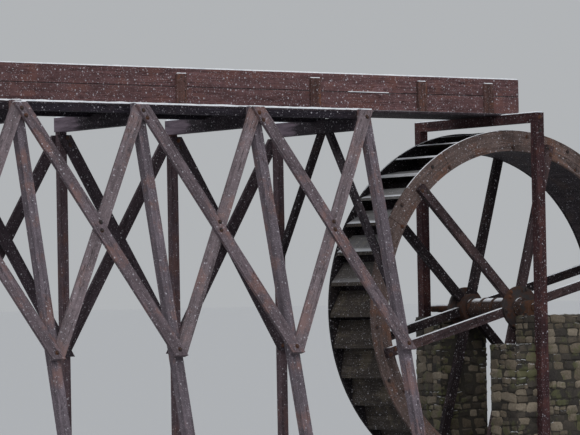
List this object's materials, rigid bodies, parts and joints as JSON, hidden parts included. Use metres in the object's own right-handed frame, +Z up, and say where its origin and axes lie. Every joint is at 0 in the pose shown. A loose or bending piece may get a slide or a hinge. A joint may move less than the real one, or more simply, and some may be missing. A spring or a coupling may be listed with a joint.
{
  "type": "water wheel",
  "caption": "Overshot timber water wheel between stone piers, fed by a raised plank flume on a braced trestle with a gallows frame at its mouth.",
  "frame": {"origin": "middle of the whole part's base rectangle, on the level of the pit floor", "axes": "+X downstream along the flume towards the wheel, +Y away from the side with the leaning legs, +Z up"},
  "size_m": [14.03, 3.9974, 6.5027],
  "materials": {
    "flume_boards": "weathered red-brown planks",
    "batten_boards": "weathered planks",
    "stringer_timber": "weathered timber",
    "beam_timber": "dark weathered timber",
    "leg_timber": "weathered mauve-brown timber",
    "post_timber": "dark wet timber",
    "front_brace_timber": "weathered mauve-brown timber",
    "back_brace_timber": "dark wet timber",
    "gallows_timber": "weathered red-brown timber",
    "pier_stone": "mossy rubble masonry",
    "iron": "rough, rusty",
    "axle_timber": "dark timber",
    "arm_timber": "dark timber",
    "shroud_timber": "olive-brown rusty boards",
    "bucket_boards": "dark wet boards"
  },
  "bodies": {
    "plant": {"flume_front_side": "flume_boards", "flume_back_side": "flume_boards", "flume_floor": "flume_boards", "flume_front_battens": "batten_boards", "flume_back_battens": "batten_boards", "front_stringer": "stringer_timber", "back_stringer": "stringer_timber", "cross_beam_1": "beam_timber", "cross_beam_2": "beam_timber", "cross_beam_3": "beam_timber", "cross_beam_4": "beam_timber", "cross_beam_5": "beam_timber", "front_leg_1": "leg_timber", "front_leg_2": "leg_timber", "front_leg_3": "leg_timber", "front_leg_4": "leg_timber", "front_leg_5": "leg_timber", "back_post_1": "post_timber", "back_post_2": "post_timber", "back_post_3": "post_timber", "back_post_4": "post_timber", "back_post_5": "post_timber", "front_falling_braces": "front_brace_timber", "front_rising_braces": "front_brace_timber", "back_falling_braces": "back_brace_timber", "back_rising_braces": "back_brace_timber", "front_strut": "back_brace_timber", "back_strut": "back_brace_timber", "gallows_cap": "gallows_timber", "gallows_front_post": "gallows_timber", "gallows_back_post": "gallows_timber", "front_pier": "pier_stone", "back_pier": "pier_stone", "front_bearing": "iron", "back_bearing": "iron"},
    "wheel": {"axle": "axle_timber", "front_hub": "axle_timber", "back_hub": "axle_timber", "front_arms": "arm_timber", "back_arms": "arm_timber", "front_shroud": "shroud_timber", "back_shroud": "shroud_timber", "sole": "bucket_boards", "buckets": "bucket_boards"}
  },
  "joints": [
    {"name": "wheel_spin", "type": "hinge", "parent": "plant", "child": "wheel", "pos_m": [4.275, 0.2565, 2.9], "axis": [0, 1, 0], "continuous": true}
  ]
}
